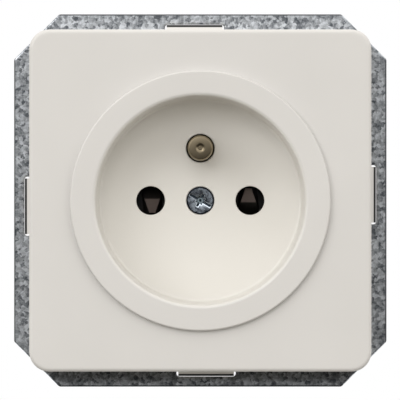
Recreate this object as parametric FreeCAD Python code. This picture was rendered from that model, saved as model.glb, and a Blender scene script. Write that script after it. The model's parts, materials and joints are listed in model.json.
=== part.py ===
import FreeCAD, Part
import math
import os
from FreeCAD import Vector

# A flush wall socket with an earth pin, in millimetres.
# X points right, Z up and Y into the wall. The wall plane is y = 0, so the front faces -Y.

# Cutting tools reach this far past the faces they open
past = 1.0
edge_past = 0.1
tool_reach = 5.0

# Support frame: one octagonal sheet with a ring drawn forward round its opening
frame_border = 3.0
frame_corner_cut = 8.6
frame_corner_r = 0.8
frame_sheet = 1.0
frame_edge_round = 0.3
frame_opening_play = 0.5
ring_margin = 0.05
ring_raise = 0.6
ring_step_run = 0.7
ring_edge_round = 0.2
ring_bend_round = 0.3
box_screw_spacing = 60.0
box_screw_hole_r = 1.65

# Latch slots, one on each side of the frame, each a little off the middle of its side
slot_length = 11.3
slot_tuck = 0.25
slot_width = 1.3
slot_offset = 1.1
slot_corner_r = 0.6
slot_edge_round = 0.4

# Front plate, with its collar and plug recess
plate_side = 65.0
plate_corner_r = 3.8
plate_edge_round = 0.7
plate_stand = 8.0
plate_wall = 2.0
skirt_wall = 1.8
collar_outer_r = 24.75
collar_height = 1.2
collar_edge_round = 0.35
mouth_r = 19.9
mouth_round = 0.7
well_depth = 15.0
well_draft = 0.5
well_fillet = 0.6
well_wall = 1.5
well_back_round = 1.0
floor_wall = 2.2
rib_wall = 1.2
rib_height = 3.0
screw_relief_half = 3.2
screw_relief_height = 3.2
screw_relief_wall = 0.8

# Tongues of the plate that enter the latch slots
tongue_play = 0.1
tongue_end_gap = 0.35
tongue_stand = 0.5
tongue_reach = 2.4
tongue_slope = 0.5
bead_play = 0.08
bead_height = 0.25
bead_slope = 0.2
tongue_back_gap = 0.05

# Plug pins and their holes
pin_spacing = 19.0
contact_hole_r = 2.75
hole_lip = 0.15
earth_above_centre = 10.0
earth_pin_r = 2.4
earth_pin_length = 14.0
earth_hole_play = 0.3

# Turned earth pin
earth_tip_round = 0.35
earth_dimple_r = 0.9
earth_dimple_depth = 0.3
earth_neck_step = 0.4
earth_neck_shows = 0.05
cover_pin_play = 0.2
earth_flange_r = 4.0
earth_flange = 1.2
earth_spigot_r = 1.9
earth_rivet_r = 2.6
earth_rivet_height = 0.7
earth_rivet_round = 0.3

# Screws
m3_r = 1.5
thread_play = 0.05
shank_play = 0.15
cover_head_r = 2.6
cover_head_play = 0.1
cover_head_height = 1.9
cover_head_sink = 0.5
cover_screw_length = 8.6
recess_slot = 0.8
recess_depth = 0.8
recess_cross_depth = 1.2
recess_cross_r = 1.7
recess_angle = 30.0
head_round = 0.3
point_share = 0.3

# Boss and bush in the middle
boss_r = 4.0
boss_end_gap = 1.5
bush_r = 2.6
bush_flange_r = 4.2
bush_flange = 1.2
bush_tail_r = 3.0
bush_tail = 2.8
bush_tail_round = 0.3
clip_groove = 0.3
clip_width = 0.4
clip_back = 0.25
clip_ring = 1.3
clip_opening = 70.0

# Rotary shutter
shutter_play = 0.1
shutter_gap = 0.15
shutter_plate = 1.5
hub_r = 4.8
wing_inner_r = 4.2
wing_margin = 0.75
wing_half_angle = 20.0
nose_floor_gap = 0.5
nose_wide = 2.9
nose_narrow = 1.1
nose_edge = -0.2
nose_reach = 2.3
nose_centre_shift = 0.3
nose_foot_wide = 4.6
nose_foot_narrow = 3.1
nose_foot_low = 3.1
nose_foot_high = 3.4
shutter_turn = 38.0
stop_gap = 2.0
stop_angle = 4.0
stop_height = 1.6
stop_length = 2.8

# Shutter spring
spring_r = 3.7
spring_wire_r = 0.22
spring_turns = 2.5
spring_pitch = 0.5
spring_room = 0.15
spring_leg = 2.0
spring_pin_reach = 1.1

# Moulded insert: contact cover in front, base behind
cup_play = 0.6
cup_wall = 2.0
cover_play = 0.3
contact_cover_wall = 2.0
contact_guide_play = 0.5
base_back_wall = 3.65
base_back_edge = 1.5
claw_flat_depth = 2.7
claw_pocket_half = 7.2
pillar_stand = 0.75
pillar_r = 2.6
pillar_short = 4.0
pillar_end_round = 0.8
rivet_r = 1.2
rivet_head_r = 2.2
rivet_head = 0.6
rivet_head_round = 0.35
rivet_end_round = 0.3
rivet_length = 9.0
rivet_play = 0.05
strap_rivet_r = 1.0
carrier_screw_r = 1.1
carrier_screw_inset = 5.0
carrier_head_r = 2.1
carrier_head = 1.3
carrier_head_round = 0.4
carrier_cross_r = 1.15
carrier_screw_length = 6.0
carrier_angles = (30.0, 150.0, 270.0)
fit_play = 0.1
end_room = 0.5

# Contacts: folded sheet with two leaves, and a tail into the terminal
contact_sheet = 0.7
contact_bend = 0.5
leaf_mouth = 3.0
leaf_waist = 2.2
leaf_root = 2.9
leaf_low = 2.9
leaf_high = 2.6
leaf_front_gap = 1.2
leaf_waist_depth = 2.75
leaf_root_depth = 6.6
leaf_side_room = 0.4
leaf_back_gap = 0.4
contact_depth = 11.0
contact_web_length = 5.5
tail_width = 4.4
tail_front = 1.7
tail_end_gap = 0.6

# Screw terminals
terminal_half = 3.5
terminal_thin_wall = 0.8
terminal_thick_wall = 2.0
terminal_window_half = 2.4
terminal_window_height = 3.6
terminal_front_gap = 3.2
terminal_length = 7.4
terminal_round = 0.5
terminal_window_round = 0.3
terminal_reach = 11.0
earth_terminal_gap = 3.4
terminal_head_r = 2.6
terminal_head = 1.6
terminal_screw_length = 4.6
terminal_screw_lift = 1.4
wire_hole_r = 1.9
wire_funnel = 1.0

# Earth strap
strap_sheet = 0.8
strap_half = 4.0
strap_bend = 0.5
strap_play = 0.6
strap_foot_margin = 0.2
strap_rivet_margin = 0.1
strap_rivet_head_r = 1.6
strap_rivet_head = 0.5
strap_tongue_length = 5.35
strap_tongue_root = 2.0
strap_window_margin = 1.6

# Spreading claws: screw, wedge nut and hinged claw on each side
claw_screw_stand = 3.3
claw_head_r = 2.6
claw_head = 1.9
claw_screw_past_nut = 0.9
claw_sheet = 1.0
claw_half = 4.6
claw_fork_half = 2.4
claw_pivot_inset = 1.0
claw_pivot_y = 1.4
claw_eye_r = 1.2
claw_slope = 0.22
claw_touch_stand = 0.15
claw_bend_y = 5.0
claw_bend = 0.6
claw_web_gap = 0.4
claw_web = 1.2
claw_tip_stand = 2.55
claw_tip_length = 1.1
claw_tooth = 0.7
claw_tooth_count = 4
claw_tooth_crest = 0.5
trunnion_r = 0.6
trunnion_play = 0.1
trunnion_stand = 0.3
ear_sheet = 1.0
ear_gap = 0.3
ear_end_r = 1.3
ear_corner_r = 1.2
ear_window_r = 0.4
nut_rest_y = 17.0
nut_length = 3.0
nut_flat_gap = 0.4
nut_touch_gap = 0.15
nut_wing_half = 4.4
nut_wing_cut = 0.7
nut_boss_half = 2.2
nut_boss_stand = 2.3
nut_boss_inset = 1.0
nut_boss_round = 0.8
nut_round = 0.3
nut_edge_round = 0.2

# Radii and places that follow from the sizes above
pin_x = pin_spacing / 2
frame_side = plate_side + 2 * frame_border
slot_inner = plate_side / 2 - slot_tuck
slot_outer = slot_inner + slot_width
tongue_outer = plate_side / 2 + tongue_stand
well_outer_r = mouth_r + well_wall
frame_opening_r = well_outer_r + frame_opening_play
cup_inner_r = well_outer_r + cup_play
cup_outer_r = cup_inner_r + cup_wall
pillar_circle_r = cup_outer_r + pillar_stand
pillar_at = pillar_circle_r / math.sqrt(2)
ring_outer_r = pillar_circle_r + pillar_r + ring_margin
step_outer_r = ring_outer_r + ring_step_run
carrier_screw_at = cup_inner_r - carrier_screw_inset
wing_outer_r = pin_x + contact_hole_r + wing_margin
stop_inner_r = wing_outer_r - stop_length
earth_terminal_reach = earth_above_centre + earth_terminal_gap
strap_stand = cup_inner_r + strap_play
strap_rivet_at = strap_stand + strap_sheet / 2 + strap_bend + strap_rivet_head_r + strap_rivet_margin
strap_foot_end = strap_rivet_at + strap_rivet_head_r + strap_foot_margin
claw_flat = cup_outer_r - claw_flat_depth
claw_screw_at = claw_flat + claw_screw_stand
claw_pivot_x = claw_screw_at - claw_pivot_inset
claw_touch_x = claw_screw_at + claw_touch_stand
claw_tip_x = claw_screw_at + claw_tip_stand
nut_inner = claw_flat + nut_flat_gap
nut_boss_outer = claw_screw_at + nut_boss_stand

# Levels along Y that follow from the sizes above
frame_front = -frame_sheet
ring_back = -ring_raise
ring_front = ring_back - frame_sheet
plate_front = frame_front - plate_stand
plate_inside = plate_front + plate_wall
collar_front = plate_front - collar_height
floor_front = collar_front + well_depth
floor_back = floor_front + floor_wall
head_front = floor_front + cover_head_sink
head_back = head_front + cover_head_height
bush_front = floor_back + boss_end_gap
clip_front = bush_front + clip_back
shutter_front = clip_front + clip_width + shutter_gap
shutter_back = shutter_front + shutter_plate
contact_cover_front = shutter_back + shutter_gap
base_front = contact_cover_front + contact_cover_wall
insert_depth = base_front + contact_depth + leaf_back_gap + base_back_wall
pillar_length = insert_depth - pillar_short
strap_tongue_end = base_front + terminal_front_gap + strap_tongue_length
claw_screw_end = nut_rest_y + nut_length / 2 + claw_screw_past_nut
claw_web_y = claw_screw_end + claw_web_gap
claw_tip_bend_y = claw_web_y + claw_web
claw_tip_y = claw_tip_bend_y + claw_tip_length


def disc(radius, front, back, x=0.0, z=0.0):
    """A cylinder along Y."""
    return Part.makeCylinder(radius, back - front, Vector(x, front, z), Vector(0, 1, 0))


def block(x0, x1, y0, y1, z0, z1):
    return Part.makeBox(x1 - x0, y1 - y0, z1 - z0, Vector(x0, y0, z0))


def rounded_wire(corners, place):
    """A closed outline through corners (u, v, radius); place turns u, v into a point."""
    edges = []
    ends = []
    count = len(corners)
    for i, (u, v, radius) in enumerate(corners):
        here = Vector(u, v, 0)
        if radius == 0:
            ends.append((here, None, here))
            continue
        last = corners[i - 1]
        following = corners[(i + 1) % count]
        back = (Vector(last[0], last[1], 0) - here).normalize()
        on = (Vector(following[0], following[1], 0) - here).normalize()
        half = back.getAngle(on) / 2
        reach = radius / math.tan(half)
        centre = here + (back + on).normalize() * (radius / math.sin(half))
        middle = centre + (here - centre).normalize() * radius
        ends.append((here + back * reach, middle, here + on * reach))
    for i, (start, middle, end) in enumerate(ends):
        if middle is not None:
            edges.append(Part.Arc(place(start), place(middle), place(end)).toShape())
        next_start = ends[(i + 1) % count][0]
        if end.distanceToPoint(next_start) > 1e-6:
            edges.append(Part.makeLine(place(end), place(next_start)))
    return Part.Wire(edges)


def front_outline(point):
    return Vector(point.x, 0, point.y)


def side_outline(point):
    return Vector(0, point.x, point.y)


def top_outline(point):
    return Vector(point.x, point.y, 0)


def pressed(corners, front, back):
    """An outline in X and Z, carried along Y."""
    solid = Part.Face(rounded_wire(corners, front_outline)).extrude(Vector(0, back - front, 0))
    return solid.translated(Vector(0, front, 0))


def from_side(corners, left, right):
    """An outline in Y and Z, carried along X."""
    solid = Part.Face(rounded_wire(corners, side_outline)).extrude(Vector(right - left, 0, 0))
    return solid.translated(Vector(left, 0, 0))


def from_top(corners, low, high):
    """An outline in X and Y, carried along Z."""
    solid = Part.Face(rounded_wire(corners, top_outline)).extrude(Vector(0, 0, high - low))
    return solid.translated(Vector(0, 0, low))


def turned(corners, x=0.0, z=0.0):
    """An outline in radius and Y, turned about the Y axis and set at x, z."""
    face = Part.Face(rounded_wire(corners, top_outline))
    return face.revolve(Vector(0, 0, 0), Vector(0, 1, 0), 360).translated(Vector(x, 0, z))


def square(side, radius):
    half = side / 2
    return [(-half, -half, radius), (half, -half, radius), (half, half, radius), (-half, half, radius)]


def rectangle(u0, u1, v0, v1, radius=0.0):
    return [(u0, v0, radius), (u1, v0, radius), (u1, v1, radius), (u0, v1, radius)]


def folded(path, sheet, bend):
    """The closed outline of a folded sheet whose middle line follows path."""
    left = []
    right = []
    for i, (u, v) in enumerate(path):
        here = Vector(u, v, 0)
        arriving = None
        leaving = None
        if i > 0:
            arriving = (here - Vector(path[i - 1][0], path[i - 1][1], 0)).normalize()
        if i < len(path) - 1:
            leaving = (Vector(path[i + 1][0], path[i + 1][1], 0) - here).normalize()
        first = arriving or leaving
        second = leaving or arriving
        across = Vector(-first.y, first.x, 0)
        mitre = across + Vector(-second.y, second.x, 0)
        side = mitre * (sheet / 2 / mitre.dot(across))
        turn = first.cross(second).z
        inner = 0.0 if abs(turn) < 1e-9 else bend
        outer = 0.0 if abs(turn) < 1e-9 else bend + sheet
        left.append((here.x + side.x, here.y + side.y, inner if turn > 0 else outer))
        right.append((here.x - side.x, here.y - side.y, outer if turn > 0 else inner))
    return left + right[::-1]


def quarter_turns(solid):
    """The same solid at each of the four sides."""
    return [solid.rotated(Vector(0, 0, 0), Vector(0, 1, 0), 90 * turn) for turn in range(4)]


def mirrored(solid):
    """The left-hand twin of a solid on the right."""
    return solid.mirror(Vector(0, 0, 0), Vector(1, 0, 0))


def one_piece(solid):
    """Joined faces and edges merged, so that no seam is left."""
    return solid.removeSplitter()


def flat_edges(solid, level):
    """The edges of a solid that lie in the plane y = level."""
    return [e for e in solid.Edges if abs(e.BoundBox.YMin - level) + abs(e.BoundBox.YMax - level) < 1e-6]


def above_and_below(solid):
    """A solid and its twin mirrored through the horizontal plane."""
    return [solid, solid.mirror(Vector(0, 0, 0), Vector(0, 0, 1))]


def pillar_places():
    return [(sx * pillar_at, sz * pillar_at) for sx in (-1, 1) for sz in (-1, 1)]


def carrier_places():
    angles = [math.radians(angle) for angle in carrier_angles]
    return [(carrier_screw_at * math.cos(a), carrier_screw_at * math.sin(a)) for a in angles]


def frame_octagon():
    half = frame_side / 2
    near = half - frame_corner_cut
    r = frame_corner_r
    return [
        (-near, -half, r), (near, -half, r), (half, -near, r), (half, near, r),
        (near, half, r), (-near, half, r), (-half, near, r), (-half, -near, r),
    ]


def latch_slot():
    """The top latch slot, as a cutting tool."""
    left = -slot_offset - slot_length / 2
    outline = rectangle(left, left + slot_length, slot_inner, slot_outer, slot_corner_r)
    return pressed(outline, frame_front - past, past)


def slot_edges(sheet):
    """The front edges of the four latch slots: those that lie nearer the middle than the sheet's rim."""
    edges = []
    for edge in flat_edges(sheet, frame_front):
        box = edge.BoundBox
        if max(abs(box.XMin), box.XMax, abs(box.ZMin), box.ZMax) < slot_outer + slot_edge_round:
            edges.append(edge)
    return edges


def claw_ear():
    """An upper ear that carries the right claw, bent back out of the ring."""
    low = claw_half + ear_gap
    left = claw_pivot_x - ear_end_r
    right = claw_pivot_x + ear_end_r
    root = ring_back - frame_sheet / 2
    tip = claw_pivot_y + ear_end_r
    outline = [(left, root, 0.0), (right, root, 0.0), (right, tip, ear_corner_r), (left, tip, ear_corner_r)]
    hole = Part.makeCylinder(trunnion_r + trunnion_play, ear_sheet, Vector(claw_pivot_x, claw_pivot_y, low))
    return from_top(outline, low, low + ear_sheet).cut(hole)


def ear_window():
    """The hole left in the ring where the ear was bent out."""
    start = claw_half + ear_gap + ear_sheet
    end = start + claw_pivot_y + ear_end_r - ring_back
    outline = rectangle(claw_pivot_x - ear_end_r, claw_pivot_x + ear_end_r, start, end, ear_window_r)
    return pressed(outline, ring_front - past, past)


def support_frame():
    """The sheet with rounded edges, its raised ring, its holes, and four ears bent back from the ring."""
    sheet = pressed(frame_octagon(), frame_front, 0)
    sheet = sheet.makeFillet(frame_edge_round, flat_edges(sheet, frame_front))
    sheet = sheet.cut(quarter_turns(latch_slot()))
    sheet = sheet.makeFillet(slot_edge_round, slot_edges(sheet))
    sheet = sheet.cut(disc(step_outer_r, frame_front - past, past))
    ring = turned([
        (frame_opening_r, ring_front, ring_edge_round), (ring_outer_r, ring_front, ring_bend_round),
        (step_outer_r, frame_front, 0.0), (step_outer_r, 0, 0.0),
        (ring_outer_r, ring_back, ring_bend_round), (frame_opening_r, ring_back, 0.0),
    ])
    cuts = quarter_turns(disc(box_screw_hole_r, frame_front - past, past, 0, box_screw_spacing / 2))
    cuts += [disc(rivet_r + rivet_play, ring_front - past, past, x, z) for x, z in pillar_places()]
    cuts.append(disc(strap_rivet_r + rivet_play, ring_front - past, past, 0, strap_rivet_at))
    screw_hole = disc(m3_r + shank_play, ring_front - past, past, claw_screw_at, 0)
    cuts += [screw_hole, mirrored(screw_hole)]
    cuts += above_and_below(ear_window()) + above_and_below(mirrored(ear_window()))
    ears = above_and_below(claw_ear()) + above_and_below(mirrored(claw_ear()))
    return one_piece(sheet.fuse(ring).cut(cuts).fuse(ears))


def plate_tongue():
    """The top tongue: a pad on the skirt, a leaf through the slot and a snap bead at its end."""
    half = slot_length / 2 - tongue_end_gap
    inner = slot_inner + tongue_play
    edge = plate_side / 2
    start = frame_front - tongue_reach
    back = -tongue_back_gap
    bead = slot_outer - bead_play
    bead_front = back - bead_height
    root = edge - skirt_wall / 2
    outline = [
        (start, root, 0.0), (start, edge, 0.0), (start + tongue_slope, tongue_outer, 0.0),
        (bead_front - bead_slope, tongue_outer, 0.0), (bead_front, bead, 0.0), (back, bead, 0.0),
        (back, inner, 0.0), (frame_front, inner, 0.0), (frame_front, root, 0.0),
    ]
    return from_side(outline, -slot_offset - half, -slot_offset + half)


def well_and_collar():
    """The recess with its floor, and the collar round its mouth, turned in one."""
    floor_r = mouth_r - well_draft
    return turned([
        (0, floor_front, 0.0), (floor_r, floor_front, well_fillet), (mouth_r, collar_front, mouth_round),
        (collar_outer_r, collar_front, collar_edge_round), (collar_outer_r, plate_inside, 0.0),
        (well_outer_r, plate_inside, 0.0), (well_outer_r - well_draft, floor_back, well_back_round),
        (0, floor_back, 0.0),
    ])


def lipped_hole(radius, back, x=0.0, z=0.0):
    """A hole from the recess floor back, with a small broken edge in front."""
    outline = [
        (0, floor_front - edge_past, 0.0), (radius + hole_lip + edge_past, floor_front - edge_past, 0.0),
        (radius, floor_front + hole_lip, 0.0), (radius, back, 0.0), (0, back, 0.0),
    ]
    return turned(outline, x, z)


def plate_ribs(room):
    """Four ribs behind the plate, from the recess to the corners of the room inside the skirt."""
    near = well_outer_r - well_draft
    rib = block(near, plate_side, plate_inside, plate_inside + rib_height, -rib_wall / 2, rib_wall / 2)
    diagonal = rib.rotated(Vector(0, 0, 0), Vector(0, 1, 0), 45)
    return [turn.common(room) for turn in quarter_turns(diagonal)]


def cover_plate():
    """The plate with its skirt, collar, recess, boss, ribs and tongues, and its four holes in front."""
    shell = pressed(square(plate_side, plate_corner_r), plate_front, frame_front)
    shell = shell.makeFillet(plate_edge_round, flat_edges(shell, plate_front))
    inner_side = plate_side - 2 * skirt_wall
    room = pressed(square(inner_side, plate_corner_r - skirt_wall), plate_inside, frame_front + past)
    shell = shell.cut(room).cut(disc(collar_outer_r, plate_front - past, plate_inside))
    boss = disc(boss_r, floor_back, bush_front)
    plate = well_and_collar().fuse([shell, boss] + plate_ribs(room) + quarter_turns(plate_tongue()))
    relief = block(
        -screw_relief_half, screw_relief_half, frame_front - screw_relief_height, frame_front + past,
        inner_side / 2 - past, plate_side / 2 - screw_relief_wall,
    )
    cuts = quarter_turns(relief)
    cuts += [lipped_hole(contact_hole_r, floor_back + past, side * pin_x) for side in (1, -1)]
    cuts.append(lipped_hole(earth_pin_r + earth_hole_play, floor_back + past, 0, earth_above_centre))
    cuts.append(lipped_hole(cover_head_r + cover_head_play, head_back))
    cuts.append(disc(m3_r + shank_play, head_back, bush_front + past))
    return one_piece(plate.cut(cuts))


def driver_recess(depth_from, radius, cross_r, angle):
    """A slot with a cross in its middle, open towards -Y, as a cutting tool."""
    front = depth_from - past
    half = recess_slot / 2
    slot = block(-radius - past, radius + past, front, depth_from + recess_depth, -half, half)
    arm = block(-cross_r, cross_r, front, depth_from + recess_cross_depth, -half, half)
    cross = arm.fuse(arm.rotated(Vector(0, 0, 0), Vector(0, 1, 0), 90))
    return slot.fuse(cross).rotated(Vector(0, 0, 0), Vector(0, 1, 0), angle)


def machine_screw(head_r, head, length, shank_r, round_r, cross_r, angle=0.0):
    """A screw along +Y, its head's back at y = 0."""
    point = shank_r * point_share
    body = turned([
        (0, -head, 0.0), (head_r, -head, round_r), (head_r, 0, 0.0), (shank_r, 0, 0.0),
        (shank_r, length - point, 0.0), (shank_r - point, length, 0.0), (0, length, 0.0),
    ])
    return body.cut(driver_recess(-head, head_r, cross_r, angle))


def cover_screw():
    screw = machine_screw(
        cover_head_r, cover_head_height, cover_screw_length, m3_r, head_round, recess_cross_r, recess_angle
    )
    return screw.translated(Vector(0, head_back, 0))


def centre_bush():
    """The threaded bush, with a groove for the clip and a flange that rests in the base."""
    bore = m3_r + thread_play
    groove = bush_r - clip_groove
    flange_back = base_front + bush_flange
    return turned([
        (bore, bush_front, 0.0), (bush_r, bush_front, 0.0),
        (bush_r, clip_front, 0.0), (groove, clip_front, 0.0),
        (groove, clip_front + clip_width, 0.0), (bush_r, clip_front + clip_width, 0.0),
        (bush_r, base_front, 0.0), (bush_flange_r, base_front, 0.0),
        (bush_flange_r, flange_back, 0.0), (bush_tail_r, flange_back, 0.0),
        (bush_tail_r, flange_back + bush_tail, bush_tail_round), (bore, flange_back + bush_tail, 0.0),
    ])


def shutter_clip():
    """An open ring that snaps into the bush's groove."""
    inner = bush_r - clip_groove
    back = clip_front + clip_width
    ring = disc(inner + clip_ring, clip_front, back).cut(disc(inner, clip_front - past, back + past))
    reach = inner + clip_ring + past
    spread = reach * math.tan(math.radians(clip_opening / 2))
    wedge = [(0, 0, 0.0), (-spread, -reach, 0.0), (spread, -reach, 0.0)]
    return ring.cut(pressed(wedge, clip_front - past, back + past))


def sector(inner, outer, middle, half_angle, front, back):
    """A piece of a ring along Y, centred on an angle measured from +X towards +Z."""
    a0 = math.radians(middle - half_angle)
    a1 = math.radians(middle + half_angle)
    am = math.radians(middle)

    def at(radius, angle):
        return Vector(radius * math.cos(angle), front, radius * math.sin(angle))

    edges = [
        Part.Arc(at(outer, a0), at(outer, am), at(outer, a1)).toShape(),
        Part.makeLine(at(outer, a1), at(inner, a1)),
        Part.Arc(at(inner, a1), at(inner, am), at(inner, a0)).toShape(),
        Part.makeLine(at(inner, a0), at(outer, a0)),
    ]
    return Part.Face(Part.Wire(edges)).extrude(Vector(0, back - front, 0))


def shutter_nose():
    """The wedge in front of the right-hand wing: a land above, a ramp below for the plug's pin."""
    x = pin_x - nose_centre_shift
    front = floor_back + nose_floor_gap
    land = [
        (x - nose_wide / 2, nose_edge), (x + nose_wide / 2, nose_edge),
        (x + nose_narrow / 2, nose_reach), (x - nose_narrow / 2, nose_reach),
    ]
    foot = [
        (x - nose_foot_wide / 2, -nose_foot_low), (x + nose_foot_wide / 2, -nose_foot_low),
        (x + nose_foot_narrow / 2, nose_foot_high), (x - nose_foot_narrow / 2, nose_foot_high),
    ]
    wires = []
    for level, corners in ((front, land), (shutter_front, foot)):
        points = [Vector(u, level, v) for u, v in corners]
        wires.append(Part.makePolygon(points + points[:1]))
    return Part.makeLoft(wires, True, True)


def shutter():
    """The rotor: a hub with two wings, and a wedge in front of each."""
    wing = sector(wing_inner_r, wing_outer_r, 0, wing_half_angle, shutter_front, shutter_back)
    wing = wing.fuse(shutter_nose())
    opposite = wing.rotated(Vector(0, 0, 0), Vector(0, 1, 0), 180)
    body = disc(hub_r, shutter_front, shutter_back).fuse([wing, opposite])
    bore = disc(bush_r + shutter_play, shutter_front - past, shutter_back + past)
    pin_end = shutter_back - spring_pin_reach - spring_room
    pin_hole = disc(spring_wire_r + spring_room, pin_end, shutter_back + past, spring_r, 0)
    return one_piece(body.cut([bore, pin_hole]))


def spring_front():
    return contact_cover_front + spring_wire_r + spring_room


def spring_height():
    return spring_turns * spring_pitch


def shutter_spring():
    """A torsion spring round the bush, one leg in the shutter and one in the contact cover."""
    helix = Part.makeHelix(spring_pitch, spring_height(), spring_r)
    wire_end = Part.Wire([Part.makeCircle(spring_wire_r, Vector(spring_r, 0, 0), Vector(0, 1, 0))])
    coil = Part.Wire(helix).makePipeShell([wire_end], True, True)
    front = spring_front()
    coil = coil.rotated(Vector(0, 0, 0), Vector(1, 0, 0), -90).translated(Vector(0, front, 0))
    start = Vector(spring_r, front, 0)
    end = Vector(-spring_r, front + spring_height(), 0)
    pin_reach = front - shutter_back + spring_pin_reach
    pin = Part.makeCylinder(spring_wire_r, pin_reach, start, Vector(0, -1, 0))
    leg = Part.makeCylinder(spring_wire_r, spring_leg, end, Vector(-1, 0, 0))
    knees = [Part.makeSphere(spring_wire_r, start), Part.makeSphere(spring_wire_r, end)]
    return coil.fuse([pin, leg] + knees)


def contact_cover():
    """The moulded disc that carries the shutter and closes the contact chambers."""
    front = contact_cover_front
    outer = cup_inner_r - cover_play
    body = disc(outer, front, base_front)
    flat = claw_flat - cup_wall / 2
    body = body.common(block(-flat, flat, front, base_front, -outer, outer))
    stop_away = wing_half_angle + stop_gap + stop_angle / 2
    stops = []
    for side in (0, 180):
        for angle in (side - stop_away, side + shutter_turn + stop_away):
            stop = sector(stop_inner_r, wing_outer_r, angle, stop_angle / 2, front - stop_height, front)
            stops.append(stop)
    body = body.fuse(stops)
    spring_back = spring_front() + spring_height() + spring_wire_r + spring_room
    room = spring_wire_r + spring_room
    before = front - past
    behind = base_front + past
    cuts = [
        disc(bush_r + fit_play / 2, before, behind),
        disc(spring_r + room, before, spring_back),
        block(-spring_r - spring_leg - spring_room, -spring_r, before, spring_back, -room, room),
        disc(earth_pin_r + cover_pin_play, before, behind, 0, earth_above_centre),
    ]
    guide = turned([
        (0, front, 0.0), (contact_hole_r + contact_guide_play, front, 0.0),
        (contact_hole_r, front + contact_guide_play, 0.0), (contact_hole_r, behind, 0.0), (0, behind, 0.0),
    ], pin_x, 0)
    cuts += [guide, mirrored(guide)]
    cuts += [disc(carrier_screw_r + fit_play, before, behind, x, z) for x, z in carrier_places()]
    return one_piece(body.cut(cuts))


def carrier_screws():
    length = carrier_screw_length
    screw = machine_screw(
        carrier_head_r, carrier_head, length, carrier_screw_r, carrier_head_round, carrier_cross_r
    )
    return [screw.translated(Vector(x, contact_cover_front, z)) for x, z in carrier_places()]


def contact_sides():
    """Middle line of one leaf, as distance from the pin's axis and Y."""
    front = base_front + leaf_front_gap
    waist = front + leaf_waist_depth
    root = front + leaf_root_depth
    end = base_front + contact_depth
    return [(leaf_mouth, front), (leaf_waist, waist), (leaf_root, root), (leaf_root, end)]


def tail_y():
    return base_front + tail_front


def terminal_front():
    return base_front + terminal_front_gap


def tail_level(reach):
    return reach + terminal_thin_wall + contact_sheet / 2 + thread_play


def pin_contact():
    """The right contact: two leaves that grip the pin, and a tail folded down to the terminal."""
    leaf = from_top(folded(contact_sides(), contact_sheet, contact_bend), -leaf_low, leaf_high)
    other = leaf.mirror(Vector(0, 0, 0), Vector(1, 0, 0))
    end = base_front + contact_depth
    level = -leaf_low - contact_sheet / 2
    half = leaf_root + contact_sheet / 2
    web = block(-half, half, end - contact_web_length, end, level - contact_sheet / 2, -leaf_low)
    tail_low = -tail_level(terminal_reach)
    tail_end = terminal_front() + terminal_length - tail_end_gap
    tail_path = [
        (end - contact_web_length / 2, level), (tail_y(), level), (tail_y(), tail_low), (tail_end, tail_low),
    ]
    tail = from_side(folded(tail_path, contact_sheet, contact_bend), -tail_width / 2, tail_width / 2)
    return one_piece(leaf.fuse([other, web, tail])).translated(Vector(pin_x, 0, 0))


def terminal_height():
    return terminal_thin_wall + terminal_window_height + terminal_thick_wall


def terminal_block(reach):
    """A terminal above the axis, its thick screwed wall outwards."""
    front = terminal_front()
    outer = reach + terminal_height()
    body = from_side(
        rectangle(front, front + terminal_length, reach, outer, terminal_round), -terminal_half, terminal_half
    )
    low = reach + terminal_thin_wall
    half = terminal_window_half
    window = rectangle(-half, half, low, low + terminal_window_height, terminal_window_round)
    window = pressed(window, front - past, front + terminal_length + past)
    bore_start = Vector(0, terminal_screw_y(), reach + terminal_height() / 2)
    bore = Part.makeCylinder(m3_r + thread_play, terminal_height(), bore_start)
    return body.cut([window, bore])


def terminal_screw_y():
    return terminal_front() + terminal_length / 2


def terminal_screw(reach):
    """The screw above a terminal, driven in towards the axis."""
    length = terminal_screw_length
    screw = machine_screw(terminal_head_r, terminal_head, length, m3_r, head_round, recess_cross_r)
    screw = screw.rotated(Vector(0, 0, 0), Vector(1, 0, 0), -90)
    head_level = reach + terminal_height() + terminal_screw_lift
    return screw.translated(Vector(0, terminal_screw_y(), head_level))


def below(solid, x):
    """A terminal piece turned to hang below the axis at x."""
    return solid.mirror(Vector(0, 0, 0), Vector(0, 0, 1)).translated(Vector(x, 0, 0))


def earth_pin():
    """The turned pin: a dimpled tip, a neck behind the recess floor, a flange and a riveted end."""
    tip = floor_front - earth_pin_length
    neck = earth_pin_r - earth_neck_step
    neck_front = floor_front - earth_neck_shows
    strap_front = base_front + earth_flange
    rivet_front = strap_front + strap_sheet
    end = rivet_front + earth_rivet_height
    return turned([
        (0, tip + earth_dimple_depth, 0.0), (earth_dimple_r / 2, tip + earth_dimple_depth, 0.0),
        (earth_dimple_r, tip, 0.0), (earth_pin_r, tip, earth_tip_round), (earth_pin_r, neck_front, 0.0),
        (neck, neck_front, 0.0), (neck, base_front, 0.0), (earth_flange_r, base_front, 0.0),
        (earth_flange_r, strap_front, 0.0), (earth_spigot_r, strap_front, 0.0),
        (earth_spigot_r, rivet_front, 0.0), (earth_rivet_r, rivet_front, 0.0),
        (earth_rivet_r, end, earth_rivet_round), (0, end, 0.0),
    ], 0, earth_above_centre)


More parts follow.
